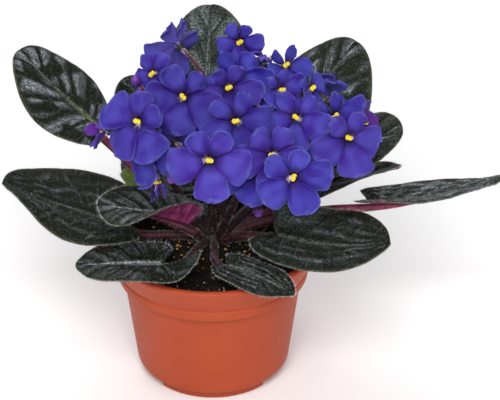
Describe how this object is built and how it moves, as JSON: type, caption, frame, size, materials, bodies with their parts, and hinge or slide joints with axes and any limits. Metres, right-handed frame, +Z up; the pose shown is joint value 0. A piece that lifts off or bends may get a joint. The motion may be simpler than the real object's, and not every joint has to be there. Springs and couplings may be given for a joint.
{
  "type": "potted african violet",
  "caption": "Potted african violet: a tapered plastic nursery pot with a broad collar, full of soil, a rosette of oval hairy leaves and a dome of five-lobed blooms.",
  "frame": {"origin": "centre of the pot's flat underside", "axes": "+Z up through the middle of the pot, -Y towards the side that the blooms face, +X to the right as seen from that side"},
  "size_m": [0.2745, 0.1724, 0.1962],
  "materials": {
    "pot": "moulded terracotta-coloured plastic with a satin sheen",
    "soil": "dark moist potting soil with small grit",
    "leaf": "thick dark green leaf with fine pale hairs",
    "stalk": "juicy dark red stalk with fine pale hairs",
    "petal": "velvety blue-violet petal"
  },
  "bodies": {
    "root": {"pot": "pot", "soil": "soil", "leaf_upper_left": "leaf", "leaf_middle_left": "leaf", "leaf_curled_left": "leaf", "leaf_front_left": "leaf", "leaf_front_small": "leaf", "leaf_front_right": "leaf", "leaf_far_right": "leaf", "leaf_back_right": "leaf", "leaf_right": "leaf", "leaf_upper_right": "leaf", "leaf_upper_back": "leaf", "leaf_left_back": "leaf", "leaf_young_left": "leaf", "leaf_back_low_left": "leaf", "leaf_back_low_right": "leaf", "leaf_back_low": "leaf", "bloom_inner_front": "petal", "bloom_inner_top": "petal", "bloom_inner_middle": "petal", "bloom_back_low": "petal", "bloom_top": "petal", "bloom_right_inner": "petal", "bloom_folded_left": "petal", "bloom_back_right": "petal", "bloom_back": "petal", "bloom_inner_left": "petal", "bloom_upper": "petal", "bloom_right_low": "petal", "bloom_right_top": "petal", "bloom_top_right": "petal", "bloom_top_back": "petal", "bloom_front_low": "petal", "bloom_middle_right": "petal", "bloom_upper_left": "petal", "bloom_hanging": "petal", "bloom_centre": "petal", "bloom_right": "petal", "bloom_front": "petal", "bloom_back_top": "petal", "bloom_left_top": "petal", "bloom_lower_left": "petal", "bloom_right_back": "petal", "bloom_left_back": "petal", "bloom_back_left": "petal", "bloom_far_right": "petal", "bloom_front_left": "petal", "bloom_spent_left": "petal", "bloom_left": "petal", "bloom_lower_right": "petal", "bloom_front_right": "petal", "stalks": "stalk"}
  },
  "joints": []
}
